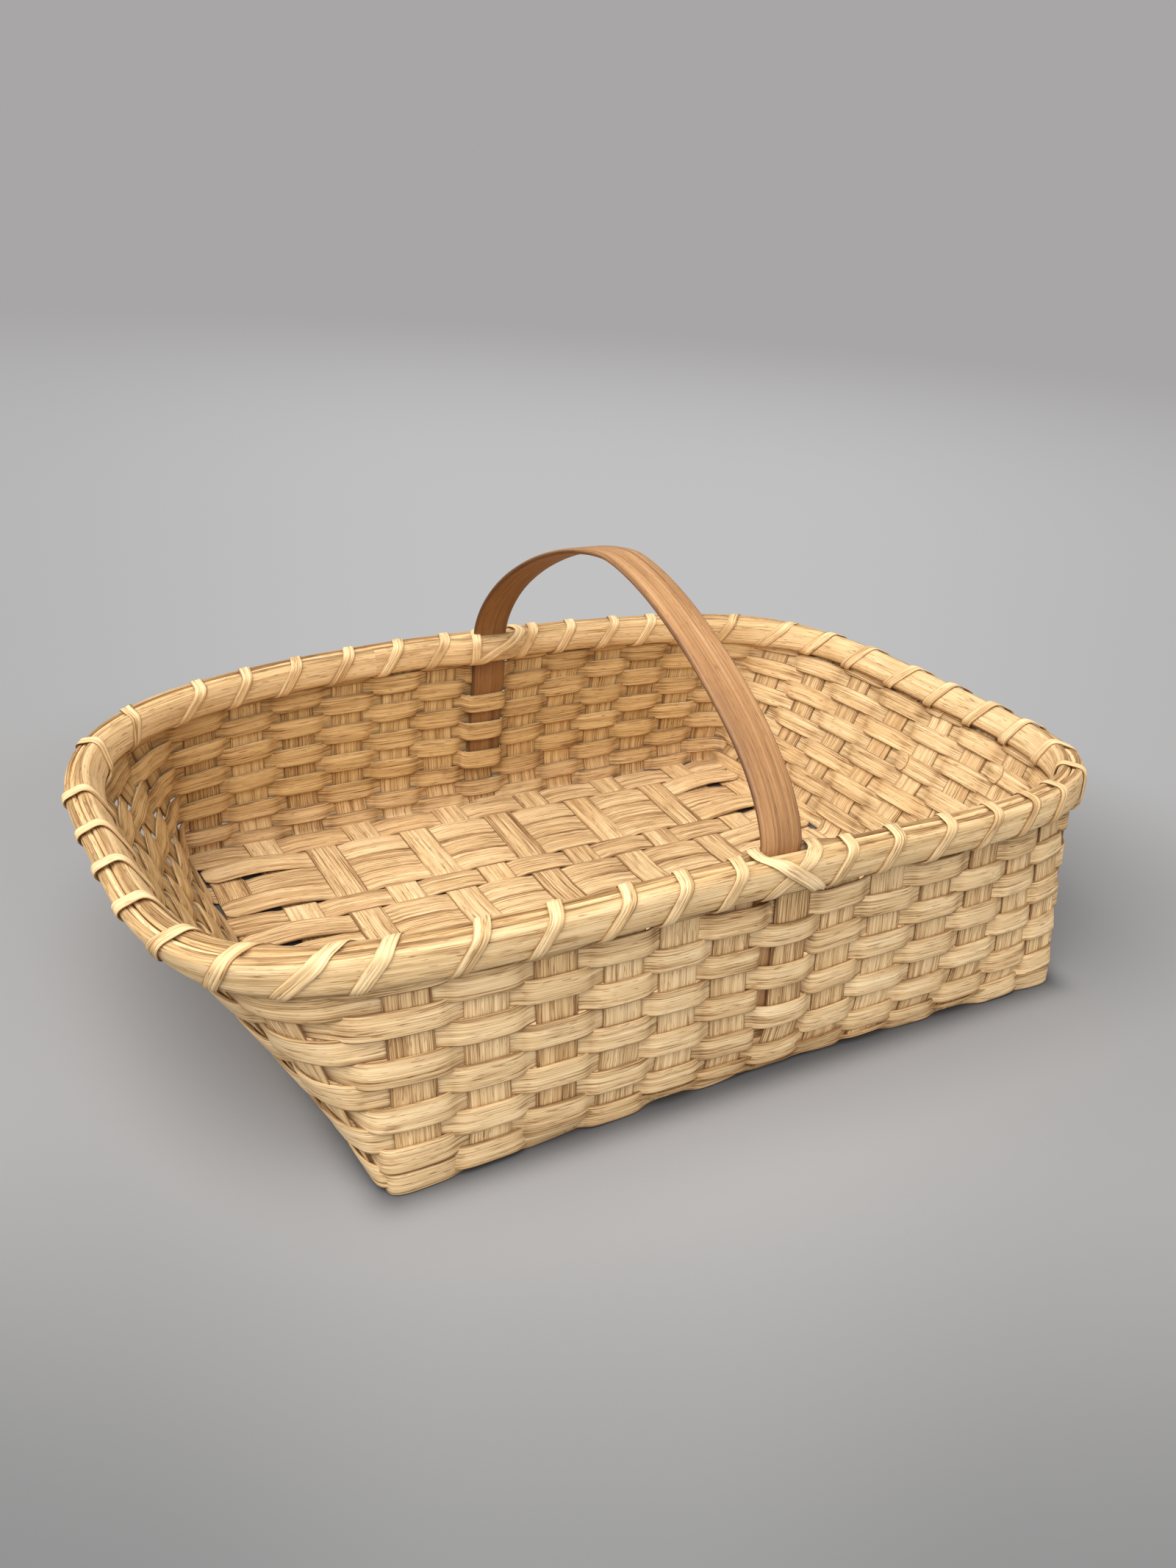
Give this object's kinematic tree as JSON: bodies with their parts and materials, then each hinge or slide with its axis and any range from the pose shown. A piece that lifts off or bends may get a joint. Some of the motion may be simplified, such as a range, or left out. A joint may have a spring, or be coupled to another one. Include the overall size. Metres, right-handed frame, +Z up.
{
  "type": "berry basket",
  "caption": "Shallow rectangular splint basket with flared ends, a lashed half-round rim and a fixed bent-wood handle across the middle.",
  "frame": {"origin": "on the ground under the middle of the base", "axes": "+Z up, X along the basket's long side, Y across it, in the handle's plane"},
  "size_m": [0.4498, 0.2944, 0.183],
  "materials": {
    "stake_reed": "natural flat reed",
    "weaver_reed": "natural flat-oval reed",
    "rim_reed": "natural half-round reed",
    "lashing_reed": "natural narrow flat reed",
    "handle_wood": "oiled hardwood strap"
  },
  "bodies": {
    "root": {"cross_stake_01": "stake_reed", "cross_stake_02": "stake_reed", "cross_stake_03": "stake_reed", "cross_stake_04": "stake_reed", "cross_stake_05": "stake_reed", "cross_stake_06": "stake_reed", "cross_stake_07": "stake_reed", "cross_stake_08": "stake_reed", "cross_stake_09": "stake_reed", "cross_stake_10": "stake_reed", "cross_stake_11": "stake_reed", "cross_stake_12": "stake_reed", "cross_stake_13": "stake_reed", "base_spoke_1": "stake_reed", "base_spoke_2": "stake_reed", "base_spoke_3": "stake_reed", "base_spoke_4": "stake_reed", "base_spoke_5": "stake_reed", "base_spoke_6": "stake_reed", "base_spoke_7": "stake_reed", "base_spoke_8": "stake_reed", "base_spoke_9": "stake_reed", "base_filler_1": "stake_reed", "base_filler_2": "stake_reed", "base_filler_3": "stake_reed", "base_filler_4": "stake_reed", "base_filler_5": "stake_reed", "base_filler_6": "stake_reed", "base_filler_7": "stake_reed", "base_filler_8": "stake_reed", "weaver_row_01": "weaver_reed", "weaver_row_02": "weaver_reed", "weaver_row_03": "weaver_reed", "weaver_row_04": "weaver_reed", "weaver_row_05": "weaver_reed", "weaver_row_06": "weaver_reed", "weaver_row_07": "weaver_reed", "weaver_row_08": "weaver_reed", "weaver_row_09": "weaver_reed", "weaver_row_10": "weaver_reed", "rim_row": "weaver_reed", "rim_outer": "rim_reed", "rim_inner": "rim_reed", "rim_filler": "rim_reed", "rim_lashing": "lashing_reed", "handle": "handle_wood"}
  },
  "joints": []
}
